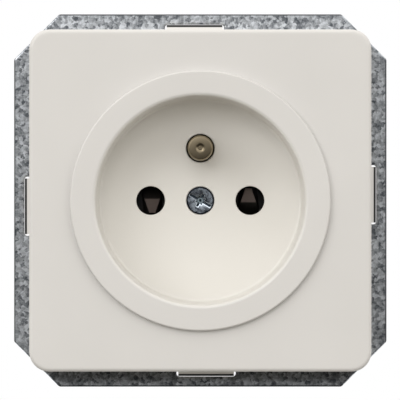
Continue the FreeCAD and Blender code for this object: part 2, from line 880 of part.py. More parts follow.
def earth_strap():
    """One sheet from the earth pin past the terminal to the support frame, with a lanced tongue."""
    y = base_front + earth_flange + strap_sheet / 2
    foot = ring_back + strap_sheet / 2
    path = [(y, earth_above_centre), (y, strap_stand), (foot, strap_stand), (foot, strap_foot_end)]
    band = from_side(folded(path, strap_sheet, strap_bend), -strap_half, strap_half)
    ring = disc(strap_half, y - strap_sheet / 2, y + strap_sheet / 2, 0, earth_above_centre)
    level = earth_tail_level()
    tongue_path = [(y, level - strap_tongue_root), (y, level), (strap_tongue_end, level)]
    tongue = from_side(folded(tongue_path, strap_sheet, strap_bend), -tail_width / 2, tail_width / 2)
    window = block(
        -terminal_window_half, terminal_window_half, y - past, y + past,
        level - strap_sheet / 2, strap_stand - strap_window_margin,
    )
    band = band.fuse(ring).cut(window).fuse(tongue)
    holes = [
        disc(earth_spigot_r, y - past, y + past, 0, earth_above_centre),
        disc(strap_rivet_r + rivet_play, foot - past, foot + past, 0, strap_rivet_at),
    ]
    return one_piece(band.cut(holes))


def earth_tail_level():
    return earth_terminal_reach + terminal_thin_wall + strap_sheet / 2 + thread_play


def frame_rivets():
    rivet = turned([
        (0, -rivet_head, 0.0), (rivet_head_r, -rivet_head, rivet_head_round), (rivet_head_r, 0, 0.0),
        (rivet_r, 0, 0.0), (rivet_r, rivet_length, rivet_end_round), (0, rivet_length, 0.0),
    ])
    return [rivet.translated(Vector(x, ring_front, z)) for x, z in pillar_places()]


def strap_rivet():
    back = ring_back + strap_sheet
    head_r = strap_rivet_head_r
    head = strap_rivet_head
    return turned([
        (0, ring_front - head, 0.0), (head_r, ring_front - head, head / 2), (head_r, ring_front, 0.0),
        (strap_rivet_r, ring_front, 0.0), (strap_rivet_r, back, 0.0), (head_r, back, 0.0),
        (head_r, back + head, head / 2), (0, back + head, 0.0),
    ], 0, strap_rivet_at)


def contact_chamber():
    """Room in the base for the right contact and its terminal, open in front."""
    play = fit_play * 2
    half = leaf_mouth + contact_sheet / 2 + leaf_side_room
    front = base_front - past
    contact = block(
        -half, half, front, base_front + contact_depth + leaf_back_gap,
        -leaf_low - contact_sheet - play, leaf_high + play,
    )
    slot = block(
        -tail_width / 2 - play, tail_width / 2 + play, front, tail_y() + contact_sheet / 2 + play,
        -terminal_reach - past, 0,
    )
    return contact.fuse([slot, below(terminal_chamber(terminal_reach), 0)]).translated(Vector(pin_x, 0, 0))


def terminal_chamber(reach):
    """Room for a terminal above the axis, its driver hole and its wire funnel."""
    play = fit_play * 2
    back = terminal_front() + terminal_length + play
    outer = reach + terminal_height()
    half = terminal_half + play
    box_room = block(-half, half, base_front - past, back, reach - play, outer + play)
    driver_start = Vector(0, terminal_screw_y(), outer)
    driver = Part.makeCylinder(terminal_head_r + play, cup_outer_r + past - outer, driver_start)
    middle = reach + terminal_thin_wall + terminal_window_height / 2
    funnel = turned([
        (0, back - edge_past, 0.0), (wire_hole_r, back - edge_past, 0.0),
        (wire_hole_r, insert_depth - wire_funnel, 0.0),
        (wire_hole_r + wire_funnel + edge_past, insert_depth + edge_past, 0.0),
        (0, insert_depth + edge_past, 0.0),
    ], 0, middle)
    return box_room.fuse([driver, funnel])


def insert_base():
    """The moulded body behind the frame, a cup round the recess with chambers in its thick floor."""
    body = turned([
        (0, ring_back, 0.0), (cup_outer_r, ring_back, 0.0), (cup_outer_r, insert_depth, base_back_edge),
        (0, insert_depth, 0.0),
    ])
    pillar = turned([
        (0, ring_back, 0.0), (pillar_r, ring_back, 0.0), (pillar_r, pillar_length, pillar_end_round),
        (0, pillar_length, 0.0),
    ])
    body = body.fuse([pillar.translated(Vector(x, 0, z)) for x, z in pillar_places()])
    pocket = block(
        claw_flat, cup_outer_r + tool_reach, ring_back - past, insert_depth + past,
        -claw_pocket_half, claw_pocket_half,
    )
    strap_back = base_front + earth_flange + strap_sheet
    play = fit_play * 2
    half = strap_half + play
    strap_outer = strap_stand + strap_sheet / 2 + play
    foot_back = ring_back + strap_sheet + strap_rivet_head + play
    front = ring_back - past
    mouth = base_front - past
    tail_back = base_front + bush_flange + bush_tail + end_room
    pin_back = strap_back + earth_rivet_height + end_room
    cuts = [
        disc(cup_inner_r, front, base_front),
        pocket, mirrored(pocket), contact_chamber(), mirrored(contact_chamber()),
        terminal_chamber(earth_terminal_reach),
        disc(bush_flange_r + fit_play, mouth, base_front + bush_flange),
        disc(bush_tail_r + fit_play, mouth, tail_back),
        disc(earth_flange_r + fit_play, mouth, strap_back, 0, earth_above_centre),
        disc(earth_rivet_r + fit_play, mouth, pin_back, 0, earth_above_centre),
        block(-half, half, mouth, strap_back, earth_above_centre, strap_outer),
        block(-half, half, front, base_front, earth_above_centre, strap_outer),
        block(-half, half, front, foot_back, strap_stand, strap_foot_end + play),
    ]
    rivet_end = ring_front + rivet_length + end_room
    cuts += [disc(rivet_r + rivet_play, front, rivet_end, x, z) for x, z in pillar_places()]
    screw_end = contact_cover_front + carrier_screw_length + end_room
    cuts += [disc(carrier_screw_r, mouth, screw_end, x, z) for x, z in carrier_places()]
    return one_piece(body.cut(cuts))


def rail_x(y):
    """Middle line of the claw's rails behind its bend."""
    angle = math.atan(claw_slope)
    return claw_touch_x + claw_sheet / 2 / math.cos(angle) + (y - nut_rest_y) * claw_slope


def claw():
    """The right claw: a forked sheet hung on two trunnions, toothed at its tip."""
    path = [
        (claw_pivot_x, claw_pivot_y), (rail_x(claw_bend_y), claw_bend_y),
        (rail_x(claw_tip_bend_y), claw_tip_bend_y), (claw_tip_x, claw_tip_y),
    ]
    body = from_top(folded(path, claw_sheet, claw_bend), -claw_half, claw_half)
    eye = Part.makeCylinder(claw_eye_r, 2 * claw_half, Vector(claw_pivot_x, claw_pivot_y, -claw_half))
    axle_half = claw_half + ear_gap + ear_sheet + trunnion_stand
    axle = Part.makeCylinder(trunnion_r, 2 * axle_half, Vector(claw_pivot_x, claw_pivot_y, -axle_half))
    body = body.fuse([eye, axle])
    outside = claw_tip_x + tool_reach
    fork = block(
        claw_pivot_x - tool_reach, outside, claw_pivot_y - tool_reach, claw_web_y,
        -claw_fork_half, claw_fork_half,
    )
    root = claw_tip_x + claw_sheet / 2 - claw_tooth
    flank = (claw_half / claw_tooth_count - claw_tooth_crest / 2) / claw_tooth
    wide = (outside - root) * flank
    cuts = [fork]
    for i in range(claw_tooth_count):
        middle = claw_half * ((2 * i + 1) / claw_tooth_count - 1)
        notch = Part.makePolygon([
            Vector(outside, 0, middle - wide), Vector(outside, 0, middle + wide),
            Vector(root, 0, middle), Vector(outside, 0, middle - wide),
        ])
        prism = Part.Face(notch).extrude(Vector(0, tool_reach, 0))
        cuts.append(prism.translated(Vector(0, claw_tip_bend_y - past, 0)))
    return one_piece(body.cut(cuts))


def claw_screw():
    length = claw_screw_end - ring_front
    screw = machine_screw(claw_head_r, claw_head, length, m3_r, head_round, recess_cross_r)
    return screw.translated(Vector(claw_screw_at, ring_front, 0))


def claw_nut():
    """The wedge nut: wings that push the claw's rails, and a boss between them for the thread."""
    wing_outer = claw_touch_x - nut_touch_gap
    half = nut_length / 2
    front = nut_rest_y - half
    back = nut_rest_y + half
    wings = from_top([
        (nut_inner, front, nut_round), (wing_outer - nut_wing_cut, front, nut_edge_round),
        (wing_outer, nut_rest_y, nut_edge_round), (wing_outer, back, nut_edge_round),
        (nut_inner, back, nut_round),
    ], -nut_wing_half, nut_wing_half)
    inset = nut_inner + nut_boss_inset
    boss = rectangle(inset, nut_boss_outer, -nut_boss_half, nut_boss_half, nut_boss_round)
    boss = pressed(boss, front, back)
    bore = disc(m3_r + thread_play, front - past, back + past, claw_screw_at, 0)
    return one_piece(wings.fuse(boss)).cut(bore)


def group(solids):
    return Part.Compound(solids)


nodes = {
    "cover_plate": cover_plate(),
    "cover_screw": cover_screw(),
    "support_frame": support_frame(),
    "frame_rivets": group(frame_rivets()),
    "strap_rivet": strap_rivet(),
    "insert_base": insert_base(),
    "contact_cover": contact_cover(),
    "carrier_screws": group(carrier_screws()),
    "centre_bush": centre_bush(),
    "shutter": shutter(),
    "shutter_clip": shutter_clip(),
    "shutter_spring": shutter_spring(),
    "live_contact": pin_contact(),
    "neutral_contact": mirrored(pin_contact()),
    "live_terminal": below(terminal_block(terminal_reach), pin_x),
    "neutral_terminal": below(terminal_block(terminal_reach), -pin_x),
    "earth_terminal": terminal_block(earth_terminal_reach),
    "live_terminal_screw": below(terminal_screw(terminal_reach), pin_x),
    "neutral_terminal_screw": below(terminal_screw(terminal_reach), -pin_x),
    "earth_terminal_screw": terminal_screw(earth_terminal_reach),
    "earth_pin": earth_pin(),
    "earth_strap": earth_strap(),
    "claw_right": claw(),
    "claw_left": mirrored(claw()),
    "claw_screw_right": claw_screw(),
    "claw_screw_left": mirrored(claw_screw()),
    "claw_nut_right": claw_nut(),
    "claw_nut_left": mirrored(claw_nut()),
}

os.makedirs("parts", exist_ok=True)
for name, shape in nodes.items():
    shape.exportStep("parts/" + name + ".step")
    print(name, "solids", len(shape.Solids), "volume", round(shape.Volume, 2), "valid", shape.isValid())
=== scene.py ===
# %% [markdown]
# # A wall socket with an earth pin, dressed for the camera
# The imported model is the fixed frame: every solid already sits where it belongs, in metres, with X to the
# right, Z up and Y into the wall. This lesson gives each solid its real surface, and remodels the ones
# that the eye reads first: the moulded plate, the turned pin and the screws.

# %% Load the frame
import json
import math

import bmesh
import bpy
from mathutils import Matrix, Vector


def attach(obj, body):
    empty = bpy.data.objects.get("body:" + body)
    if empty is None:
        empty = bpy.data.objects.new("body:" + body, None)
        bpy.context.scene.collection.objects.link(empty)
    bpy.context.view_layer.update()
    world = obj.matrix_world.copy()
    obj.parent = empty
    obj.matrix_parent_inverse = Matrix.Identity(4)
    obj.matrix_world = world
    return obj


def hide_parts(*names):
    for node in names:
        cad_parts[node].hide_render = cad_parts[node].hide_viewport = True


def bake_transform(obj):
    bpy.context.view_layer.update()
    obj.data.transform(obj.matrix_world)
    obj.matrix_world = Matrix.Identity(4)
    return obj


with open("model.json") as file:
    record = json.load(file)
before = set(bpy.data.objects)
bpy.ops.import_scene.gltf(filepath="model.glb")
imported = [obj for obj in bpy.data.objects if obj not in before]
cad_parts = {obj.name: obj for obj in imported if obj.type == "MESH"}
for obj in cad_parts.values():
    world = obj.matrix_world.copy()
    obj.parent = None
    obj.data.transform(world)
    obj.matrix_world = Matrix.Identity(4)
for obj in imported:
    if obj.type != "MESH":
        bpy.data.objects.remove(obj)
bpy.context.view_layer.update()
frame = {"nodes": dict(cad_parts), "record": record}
scene = bpy.context.scene
mm = 0.001

# %% [markdown]
# ## The camera
# The picture was taken straight on and from far away, so the collar hides nothing and no side of the
# plate shows. A camera without perspective would do, but a long lens two metres off is closer to a real
# one. Its focal length follows from the width of wall that fills the picture.

# %% Camera
picture_width = 76.26 * mm
camera_distance = 2.0
picture_middle = Vector((-0.06, -1.0, 0.1)) * mm
camera_data = bpy.data.cameras.new("camera")
camera_data.sensor_width = 36.0
camera_data.lens = camera_data.sensor_width * camera_distance / picture_width
camera_data.clip_end = 20.0
camera = bpy.data.objects.new("camera", camera_data)
camera.location = picture_middle + Vector((0, -camera_distance, 0))
camera.rotation_euler = (math.radians(90), 0, 0)
scene.collection.objects.link(camera)
scene.camera = camera
scene.view_settings.view_transform = "Standard"
print("lens", round(camera_data.lens, 1), "mm")

# %% [markdown]
# ## Lamps
# In the picture the plug recess is darkest on its upper left and brightest on its lower right, so most of
# the light comes from the upper left. A sun lamp would do that with hard shadows. The real ones are soft,
# so round area lamps stand in front of the wall. Two more only lift the shadows of the plastic. Metal
# doesn't mirror those two, or the zinc would lose its dark side.

# %% Lamps
def soft_lamp(name, place, size, power):
    data = bpy.data.lights.new(name, "AREA")
    data.shape = "DISK"
    data.size = size
    data.energy = power
    lamp = bpy.data.objects.new(name, data)
    lamp.location = place
    lamp.rotation_euler = (-Vector(place)).to_track_quat("-Z", "Y").to_euler()
    scene.collection.objects.link(lamp)
    return lamp


soft_lamp("top_lamp", place=(-0.35, -1.95, 1.05), size=1.20, power=3.0)
soft_lamp("left_lamp", place=(-1.30, -1.85, 0.60), size=1.20, power=8.8)
soft_lamp("right_lamp", place=(1.85, -1.50, 0.25), size=1.20, power=4.5)
soft_lamp("edge_lamp", place=(-1.35, -1.15, 1.45), size=0.50, power=2.5)
fill_lamps = [
    soft_lamp("low_fill", place=(-1.10, -1.80, -0.90), size=1.20, power=10.5),
    soft_lamp("front_fill", place=(-0.10, -2.20, 0.45), size=0.70, power=5.0),
]
for lamp in fill_lamps:
    lamp.visible_glossy = False
print("lamps", [light.name for light in bpy.data.lights])

# %% [markdown]
# ## Placing shader nodes
# Sky, effects and finishes are all small trees of nodes. They could be wired by hand in the shader
# editor, but a script can be read and run again. One helper adds a node and sets its options, the other
# turns a mask into a passage between two tones.

# %% Node helpers
# A Mix node has sockets of its own for each kind of data. These are the ones for values and for colours.
value_a, value_b = 2, 3
colour_a, colour_b, colour_mixed = 6, 7, 2


def node(tree, kind, **settings):
    """Adds a node to a tree and sets its options."""
    made = tree.nodes.new(kind)
    for name, value in settings.items():
        setattr(made, name, value)
    return made


def ramp_between(tree, source, low, high, darker, lighter):
    """A ramp from one colour at low to another at high."""
    ramp = node(tree, "ShaderNodeValToRGB")
    first, last = ramp.color_ramp.elements
    first.position, first.color = low, (*darker, 1)
    last.position, last.color = high, (*lighter, 1)
    tree.links.new(source, ramp.inputs[0])
    return ramp.outputs[0]


print("helpers", node.__name__, ramp_between.__name__)

# %% [markdown]
# ## The sky
# The socket stands in a white tent. A plain white background would light every hollow evenly, so here the
# kind of ray decides. The camera, shiny metal and anything seen through a clear piece find plain white.
# Matt surfaces are lit by a sky that is bright above and dim below, so hollows darken towards their upper
# edge.

# %% Sky
world = bpy.data.worlds.new("white_tent")
scene.world = world
world.use_nodes = True
sky = world.node_tree
sky.nodes.clear()
rays = node(sky, "ShaderNodeLightPath")
direction = node(sky, "ShaderNodeTexCoord")
height = node(sky, "ShaderNodeSeparateXYZ")
sky.links.new(direction.outputs["Generated"], height.inputs[0])
lift = node(sky, "ShaderNodeMapRange")
lift.inputs["From Min"].default_value = -1
sky.links.new(height.outputs["Z"], lift.inputs["Value"])
sky_below, sky_above = (0.21, 0.19, 0.15), (1.22, 1.18, 1.10)
dim_up_to, bright_from = 0.20, 0.80
matt_sky = node(sky, "ShaderNodeBackground")
brightness = ramp_between(sky, lift.outputs[0], dim_up_to, bright_from, sky_below, sky_above)
sky.links.new(brightness, matt_sky.inputs["Color"])
white_sky = node(sky, "ShaderNodeBackground")
white_sky.inputs["Color"].default_value = (1, 1, 1, 1)
shows_white = rays.outputs["Is Camera Ray"]
for kind in ("Is Glossy Ray", "Is Transmission Ray"):
    either = node(sky, "ShaderNodeMath", operation="ADD", use_clamp=True)
    sky.links.new(shows_white, either.inputs[0])
    sky.links.new(rays.outputs[kind], either.inputs[1])
    shows_white = either.outputs[0]
both = node(sky, "ShaderNodeMixShader")
sky.links.new(shows_white, both.inputs[0])
sky.links.new(matt_sky.outputs[0], both.inputs[1])
sky.links.new(white_sky.outputs[0], both.inputs[2])
sky_out = node(sky, "ShaderNodeOutputWorld")
sky.links.new(both.outputs[0], sky_out.inputs[0])
print("sky nodes", len(sky.nodes))

# %% [markdown]
# ## Shared surface effects
# Some effects belong to more than one finish: the faint unevenness of a moulding, drawn lines, and places
# on a piece that differ from the rest. Wired into each material they would be repeated, so each is a node
# group built once. A group puts out only masks and a normal, and the finish that uses it decides on the
# colour.

# %% Group helpers
def effect(name, inputs, outputs):
    """An empty node group with number inputs, and the place on the piece to start from."""
    tree = bpy.data.node_groups.new(name, "ShaderNodeTree")
    for label, value in inputs.items():
        socket = tree.interface.new_socket(label, in_out="INPUT", socket_type="NodeSocketFloat")
        socket.default_value = value
    for label, kind in outputs.items():
        tree.interface.new_socket(label, in_out="OUTPUT", socket_type=kind)
    place = node(tree, "ShaderNodeTexCoord")
    return tree, node(tree, "NodeGroupInput"), node(tree, "NodeGroupOutput"), place.outputs["Object"]


def cloudy(tree, place, scale, detail):
    """Noise; its scale is a number or another node's output."""
    noise = node(tree, "ShaderNodeTexNoise")
    noise.inputs["Detail"].default_value = detail
    tree.links.new(place, noise.inputs["Vector"])
    if isinstance(scale, float):
        noise.inputs["Scale"].default_value = scale
    else:
        tree.links.new(scale, noise.inputs["Scale"])
    return noise


def relief(tree, height, strength, deep):
    """Turns a height into a normal; deep is the relief's depth in metres."""
    bump = node(tree, "ShaderNodeBump")
    bump.inputs["Distance"].default_value = deep
    tree.links.new(strength, bump.inputs["Strength"])
    tree.links.new(height, bump.inputs["Height"])
    return bump.outputs[0]


print("helpers", effect.__name__, cloudy.__name__, relief.__name__)

# %% [markdown]
# ## A moulded skin
# Pressed plastic is never quite level. A picture of such a surface could be laid on, but noise has no
# seams and no pattern, as a mould's polish has none. A fine noise tilts the surface like the skin of an
# orange, and a slow one shifts the tone a little from place to place.

# %% Moulded skin
def moulded_skin():
    tree, given, out, place = effect(
        "moulded_skin", {"Scale": 900.0, "Depth": 0.05},
        {"Tone": "NodeSocketFloat", "Normal": "NodeSocketVector"},
    )
    peel = cloudy(tree, place, given.outputs["Scale"], detail=2.0)
    cloud = cloudy(tree, place, 60.0, detail=3.0)
    normal = relief(tree, peel.outputs["Fac"], given.outputs["Depth"], 0.02 * mm)
    tree.links.new(cloud.outputs["Fac"], out.inputs["Tone"])
    tree.links.new(normal, out.inputs["Normal"])
    return tree


skin_group = moulded_skin()
print("made", skin_group.name)

# %% [markdown]
# ## Zinc crystals
# Sheet dipped in zinc shows a spangle: small ragged crystals, each of its own tone, with a fine grain
# over them. Voronoi cells give one tone to each crystal, but with straight borders. Noise pushes the
# place that they are read from, and that makes the borders ragged.

# %% Zinc crystals
def zinc_crystals():
    tree, given, out, place = effect(
        "zinc_crystals", {"Scale": 1500.0, "Depth": 0.35},
        {"Crystal": "NodeSocketFloat", "Grain": "NodeSocketFloat", "Normal": "NodeSocketVector"},
    )
    ragged, grain_share, grain_scale = 1.1 * mm, 0.7, 1500.0
    bend = cloudy(tree, place, grain_scale, detail=3.0)
    push = node(tree, "ShaderNodeVectorMath", operation="MULTIPLY_ADD")
    push.inputs[1].default_value = (ragged, ragged, ragged)
    tree.links.new(bend.outputs["Color"], push.inputs[0])
    tree.links.new(place, push.inputs[2])
    cells = node(tree, "ShaderNodeTexVoronoi")
    tree.links.new(push.outputs[0], cells.inputs["Vector"])
    tree.links.new(given.outputs["Scale"], cells.inputs["Scale"])
    tone = node(tree, "ShaderNodeSeparateColor")
    tree.links.new(cells.outputs["Color"], tone.inputs[0])
    grain = cloudy(tree, place, grain_scale, detail=6.0)
    grain.inputs["Roughness"].default_value = 0.65
    both_tones = node(tree, "ShaderNodeMix")
    both_tones.inputs["Factor"].default_value = grain_share
    tree.links.new(tone.outputs[0], both_tones.inputs[value_a])
    tree.links.new(grain.outputs["Fac"], both_tones.inputs[value_b])
    normal = relief(tree, grain.outputs["Fac"], given.outputs["Depth"], 0.03 * mm)
    tree.links.new(both_tones.outputs[0], out.inputs["Crystal"])
    tree.links.new(grain.outputs["Fac"], out.inputs["Grain"])
    tree.links.new(normal, out.inputs["Normal"])
    return tree


crystal_group = zinc_crystals()
print("made", crystal_group.name)

# %% [markdown]
# ## Places on a piece
# Some finishes change over one piece: painted light makes the recess lighter than the plate, and a
# screw head is darker round its rim. A second material there would have a hard border. A mask lets one
# colour pass softly into the other. There are three: inside a round column about the middle axis, in
# front of a level along Y, and beyond the sides of a square. A negative blend turns a mask round.

# %% Where on the piece
def place_masks():
    tree, given, out, place = effect(
        "place_masks", {"Radius": 0.02, "Level": 0.0, "Half Side": 0.03, "Blend": 0.001},
        {"Inside": "NodeSocketFloat", "In Front": "NodeSocketFloat", "Beyond": "NodeSocketFloat"},
    )
    parts = node(tree, "ShaderNodeSeparateXYZ")
    flat = node(tree, "ShaderNodeCombineXYZ")
    radius = node(tree, "ShaderNodeVectorMath", operation="LENGTH")
    widest = node(tree, "ShaderNodeMath", operation="MAXIMUM")
    tree.links.new(place, parts.inputs[0])
    tree.links.new(flat.outputs[0], radius.inputs[0])
    for number, axis in enumerate("XZ"):
        away = node(tree, "ShaderNodeMath", operation="ABSOLUTE")
        tree.links.new(parts.outputs[axis], flat.inputs[axis])
        tree.links.new(parts.outputs[axis], away.inputs[0])
        tree.links.new(away.outputs[0], widest.inputs[number])
    for label, more, less in (
        ("Inside", given.outputs["Radius"], radius.outputs["Value"]),
        ("In Front", given.outputs["Level"], parts.outputs["Y"]),
        ("Beyond", widest.outputs[0], given.outputs["Half Side"]),
    ):
        short = node(tree, "ShaderNodeMath", operation="SUBTRACT")
        share = node(tree, "ShaderNodeMath", operation="DIVIDE", use_clamp=True)
        tree.links.new(more, short.inputs[0])
        tree.links.new(less, short.inputs[1])
        tree.links.new(short.outputs[0], share.inputs[0])
        tree.links.new(given.outputs["Blend"], share.inputs[1])
        tree.links.new(share.outputs[0], out.inputs[label])
    return tree


mask_group = place_masks()
print("made", mask_group.name)

# %% [markdown]
# ## Drawn lines
# Rolled sheet, drawn wire and turned metal carry fine lines. A wave texture would draw them too evenly.
# Noise that is squeezed hard across the lines and hardly along them looks worn by a tool. How fine it is
# along each axis is a number of its own, so one group serves all of these metals.

# %% Drawn lines
def drawn_lines():
    tree, given, out, place = effect(
        "drawn_lines", {"Along X": 60.0, "Along Y": 60.0, "Along Z": 2500.0, "Depth": 0.2},
        {"Lines": "NodeSocketFloat", "Normal": "NodeSocketVector"},
    )
    stretch = node(tree, "ShaderNodeVectorMath", operation="MULTIPLY")
    scales = node(tree, "ShaderNodeCombineXYZ")
    for axis in "XYZ":
        tree.links.new(given.outputs["Along " + axis], scales.inputs[axis])
    tree.links.new(place, stretch.inputs[0])
    tree.links.new(scales.outputs[0], stretch.inputs[1])
    lines = cloudy(tree, stretch.outputs[0], 1.0, detail=3.0)
    normal = relief(tree, lines.outputs["Fac"], given.outputs["Depth"], 0.02 * mm)
    tree.links.new(lines.outputs["Fac"], out.inputs["Lines"])
    tree.links.new(normal, out.inputs["Normal"])
    return tree


line_group = drawn_lines()
print("made", line_group.name)

# %% [markdown]
# ## Finishes
# Each finish starts from the same plain shader, and what is uniform is a number on that shader. What
# varies over the surface comes from a shared effect, through a ramp between two close tones, because real
# surfaces differ little from place to place. A place that does differ gets its own colour over that,
# where its mask is one.

# %% Finish helpers
tone_low, tone_high = 0.3, 0.7


def plain_finish(name, colour, roughness, metallic=0.0, **more):
    material = bpy.data.materials.new(name)
    material.use_nodes = True
    tree = material.node_tree
    shader = tree.nodes["Principled BSDF"]
    shader.inputs["Base Color"].default_value = (*colour, 1)
    shader.inputs["Roughness"].default_value = roughness
    shader.inputs["Metallic"].default_value = metallic
    for label, value in more.items():
        shader.inputs[label.replace("_", " ")].default_value = value
    return material, tree, shader


def put_effect(tree, group, **values):
    made = node(tree, "ShaderNodeGroup")
    made.node_tree = group
    for label, value in values.items():
        made.inputs[label.replace("_", " ")].default_value = value
    return made


def between(tree, source, low, high):
    """Brings a mask from 0..1 to a range of roughness."""
    spread = node(tree, "ShaderNodeMapRange")
    spread.inputs["To Min"].default_value = low
    spread.inputs["To Max"].default_value = high
    tree.links.new(source, spread.inputs["Value"])
    return spread.outputs[0]


def lay_over(material, output, colour, **place):
    """Lays a second colour over a finish where one of the place masks is one; the place is in mm."""
    tree = material.node_tree
    base = tree.nodes["Principled BSDF"].inputs["Base Color"]
    mask = put_effect(tree, mask_group, **{label: value * mm for label, value in place.items()})
    mix = node(tree, "ShaderNodeMix", data_type="RGBA")
    tree.links.new(mask.outputs[output], mix.inputs["Factor"])
    tree.links.new(base.links[0].from_socket, mix.inputs[colour_a])
    mix.inputs[colour_b].default_value = (*colour, 1)
    tree.links.new(mix.outputs[colour_mixed], base)


print("tones between", tone_low, "and", tone_high)

# %% [markdown]
# ## Mouldings
# The front is glossy white thermoset. Its recess is painted a little lighter and warmer as painted light,
# and the bead at the end of each latch tongue is painted dark as the shade in the slot's gap. The base is
# black and dull. The shutter is black too, and the flats that show in the contact holes carry painted
# light, a lighter brown than the shaded black behind them. All three are the same finish with other
# numbers, because all three are pressed in a mould.

# %% Mouldings
def moulded(name, darker, lighter, roughness, depth=0.05, **more):
    material, tree, shader = plain_finish(name, lighter, roughness, **more)
    skin = put_effect(tree, skin_group, Depth=depth)
    tone = ramp_between(tree, skin.outputs["Tone"], tone_low, tone_high, darker, lighter)
    tree.links.new(tone, shader.inputs["Base Color"])
    tree.links.new(skin.outputs["Normal"], shader.inputs["Normal"])
    return material


pearl_white = moulded("pearl_white", darker=(0.66, 0.65, 0.643), lighter=(0.68, 0.67, 0.663), roughness=0.34)
# Painted light: inside the recess the plate is coloured lighter and warmer, though it is the same moulding.
lay_over(pearl_white, "Inside", (0.80, 0.785, 0.755), Radius=20.4, Blend=0.8)
# Painted shade: the tongue beads beyond the plate's sides are dark as the shade in the slot gaps.
lay_over(pearl_white, "Beyond", (0.05, 0.05, 0.05), Half_Side=33.03, Blend=0.05)
dark_base = moulded(
    "dark_base", darker=(0.012, 0.011, 0.011), lighter=(0.020, 0.018, 0.018), roughness=0.5, depth=0.2,
)
shutter_black = moulded(
    "shutter_black", darker=(0.004, 0.0035, 0.003), lighter=(0.006, 0.005, 0.005), roughness=0.35,
    depth=0.15, Specular_IOR_Level=0.25,
)
# Painted light: the shutter's foremost flats are lighter and browner, as lit faces, than the black behind.
lay_over(shutter_black, "In Front", (0.085, 0.066, 0.060), Level=7.62, Blend=0.05)
print("mouldings", pearl_white.name, dark_base.name, shutter_black.name)

# %% [markdown]
# ## Metals
# Brass terminals, spring wire, plated claws, blue zinc screws and a nickel plated pin differ in tone, in
# shine and in how their lines run. On sheet, wire and claws the lines change quickest along Z, and on the
# turned pin along Y, so they run round it as the tool did. Where the fineness is the same along each axis
# they become the clouds of a plated coat. One helper makes all of them, as only the numbers differ.

# %% Metals
def lined(name, darker, lighter, shiny, dull, **along):
    """A metal whose lines vary its tone and its roughness, from shiny to dull."""
    material, tree, shader = plain_finish(name, lighter, shiny, metallic=1.0)
    lines = put_effect(tree, line_group, **along)
    tone = ramp_between(tree, lines.outputs["Lines"], tone_low, tone_high, darker, lighter)
    tree.links.new(tone, shader.inputs["Base Color"])
    tree.links.new(between(tree, lines.outputs["Lines"], shiny, dull), shader.inputs["Roughness"])
    tree.links.new(lines.outputs["Normal"], shader.inputs["Normal"])
    return material


def even_lines(fineness):
    """The same fineness along each axis, which gives clouds in place of lines."""
    return {"Along_" + axis: fineness for axis in "XYZ"}


drawn_brass = lined("drawn_brass", (0.62, 0.44, 0.19), (0.78, 0.58, 0.29), shiny=0.25, dull=0.40)
spring_wire = lined("spring_wire", (0.40, 0.40, 0.41), (0.58, 0.58, 0.58), shiny=0.25, dull=0.4)
zinc_claws = lined("zinc_claws", (0.48, 0.49, 0.49), (0.66, 0.67, 0.66), shiny=0.32, dull=0.48)
bright_zinc = lined(
    "bright_zinc", (0.16, 0.18, 0.25), (0.62, 0.72, 0.80), shiny=0.22, dull=0.38, **even_lines(900.0),
)
zinc_with_painted_light = lined(
    "zinc_with_painted_light", (0.05, 0.055, 0.09), (0.80, 0.90, 1.0), shiny=0.2, dull=0.34, **even_lines(1200.0),
)
pin_nickel = lined(
    "pin_nickel", (0.235, 0.192, 0.127), (0.335, 0.277, 0.187), shiny=0.3, dull=0.42,
    Along_X=60.0, Along_Z=60.0, Along_Y=3000.0,
)
metals = (drawn_brass, spring_wire, zinc_claws, bright_zinc, zinc_with_painted_light, pin_nickel)
print("metals", [metal.name for metal in metals])

# %% [markdown]
# ## Galvanised sheet
# The support frame is punched from dipped sheet. One even grey would look like paint, so the crystals
# give its tone and the grain its shine. The press cut through the zinc, so a dull line runs along the
# outer edge.

# %% Galvanised sheet
def galvanised():
    crystal_low, crystal_high = 0.33, 0.68
    dark_crystal, light_crystal = (0.14, 0.154, 0.172), (0.80, 0.83, 0.87)
    shiny, dull = 0.3, 0.5
    material, tree, shader = plain_finish("galvanised", light_crystal, dull, metallic=1.0)
    zinc = put_effect(tree, crystal_group)
    tone = ramp_between(
        tree, zinc.outputs["Crystal"], crystal_low, crystal_high, dark_crystal, light_crystal,
    )
    tree.links.new(tone, shader.inputs["Base Color"])
    tree.links.new(between(tree, zinc.outputs["Grain"], shiny, dull), shader.inputs["Roughness"])
    tree.links.new(zinc.outputs["Normal"], shader.inputs["Normal"])
    lay_over(material, "Beyond", (0.10, 0.105, 0.11), Half_Side=35.2, Blend=0.1)
    return material


galvanised_zinc = galvanised()
print("made", galvanised_zinc.name)

# %% [markdown]
# ## Making a piece
# Every new piece ends the same way, so one helper does it. The mesh becomes an object and is shaded
# smoothly between its sharp edges. Then it is tied to the body it moves with and given its material,
# and the solid that it stands for is hidden. Weighted normals keep the flats level beside the rounds,
# without any more faces.

# %% Piece helper
body_of = {n: body for body, names in frame["record"]["behaviour"]["bodies"].items() for n in names}
sharp_angle = 30.0


def finish_piece(bm, name, material, solid, rides=True):
    """Makes the object, shades it and ties it down; a piece that bends across a joint rides no body."""
    mesh = bpy.data.meshes.new(name)
    bm.to_mesh(mesh)
    bm.free()
    mesh.materials.append(material)
    mesh.shade_smooth()
    mesh.set_sharp_from_angle(angle=math.radians(sharp_angle))
    piece = bpy.data.objects.new(name, mesh)
    scene.collection.objects.link(piece)
    if rides:
        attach(piece, body_of[solid])
    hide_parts(solid)
    even = piece.modifiers.new("even_normals", "WEIGHTED_NORMAL")
    even.keep_sharp = True
    print(name, len(mesh.polygons), "faces")
    return piece


# %% [markdown]
# ## Turned shapes
# The recess, the pin and the screw heads are round. Cylinders could be cut out of each other, but that
# leaves ragged faces along the cuts. A profile that is spun about an axis along Y gives clean rings
# instead. It is drawn as a few corners, and the corners that are soft on the real piece are bevelled
# before the spin.

# %% Turning helper
same_point = 0.001 * mm


